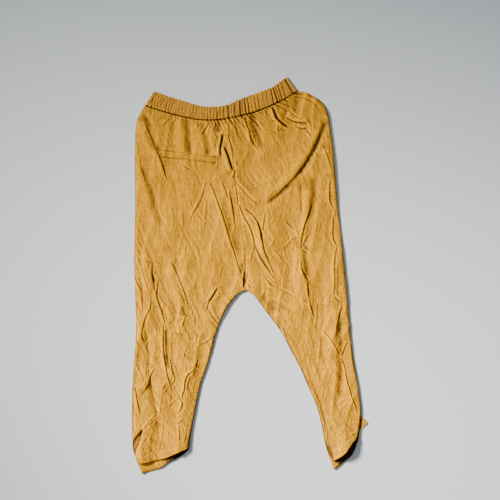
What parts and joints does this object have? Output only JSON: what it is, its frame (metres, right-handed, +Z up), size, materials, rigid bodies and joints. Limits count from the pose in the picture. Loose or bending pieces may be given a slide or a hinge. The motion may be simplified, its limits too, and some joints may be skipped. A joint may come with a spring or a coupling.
{
  "type": "trousers",
  "caption": "Cropped tapered trousers with a gathered elastic waist and a back welt pocket, laid flat with the back up.",
  "frame": {"origin": "bottom centre of the whole garment's box, on the surface it lies on", "axes": "+Z up from the surface, +Y from the hems to the waist, +X from the wearer's left leg to the right leg, as seen with the back up"},
  "size_m": [0.5524, 0.9338, 0.0237],
  "materials": {
    "cloth": "crinkled matt plain weave",
    "casing_cloth": "gathered matt plain weave over elastic"
  },
  "bodies": {
    "root": {"waistband": "casing_cloth", "left_back_panel": "cloth", "right_back_panel": "cloth", "left_front_panel": "cloth", "right_front_panel": "cloth", "back_pocket_welt": "cloth"}
  },
  "joints": []
}
